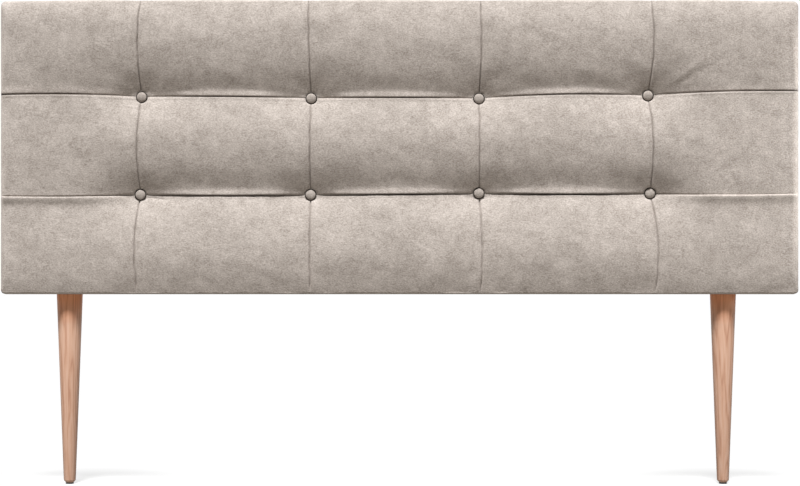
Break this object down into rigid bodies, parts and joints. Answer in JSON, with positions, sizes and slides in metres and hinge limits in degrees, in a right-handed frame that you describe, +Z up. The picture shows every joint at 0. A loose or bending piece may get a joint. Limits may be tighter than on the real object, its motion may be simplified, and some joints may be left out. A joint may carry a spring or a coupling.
{
  "type": "headboard",
  "caption": "Low upholstered headboard: button-tufted velvet panel over foam and a timber frame, on tapered turned wooden legs with glides, with keyhole hangers on its back.",
  "frame": {"origin": "on the floor, in the middle of the width and depth", "axes": "+X across to the viewer's right, -Y to the front of the headboard, +Z up"},
  "size_m": [1.6, 0.0826, 0.972],
  "materials": {
    "velvet": "short pile, mottled",
    "foam": "open-cell foam",
    "plywood": "raw",
    "pine": "sawn",
    "steel": "zinc plated",
    "nylon": "moulded",
    "back_cloth": "thin spunbond",
    "leg_wood": "clear satin varnish",
    "glide": "moulded"
  },
  "bodies": {
    "root": {"velvet_cover": "velvet", "buttons_upper": "velvet", "buttons_lower": "velvet", "foam_pad": "foam", "front_board": "plywood", "frame_top_rail": "pine", "frame_bottom_rail": "pine", "frame_left_stile": "pine", "frame_right_stile": "pine", "frame_inner_stile_1": "pine", "frame_inner_stile_2": "pine", "frame_inner_stile_3": "pine", "frame_staples": "steel", "leg_bolts": "steel", "tee_nuts": "steel", "wall_hangers": "steel", "hanger_screws": "steel", "button_straps": "nylon", "strap_locks": "nylon", "back_cloth": "back_cloth", "legs": "leg_wood", "foot_glides": "glide"}
  },
  "joints": []
}
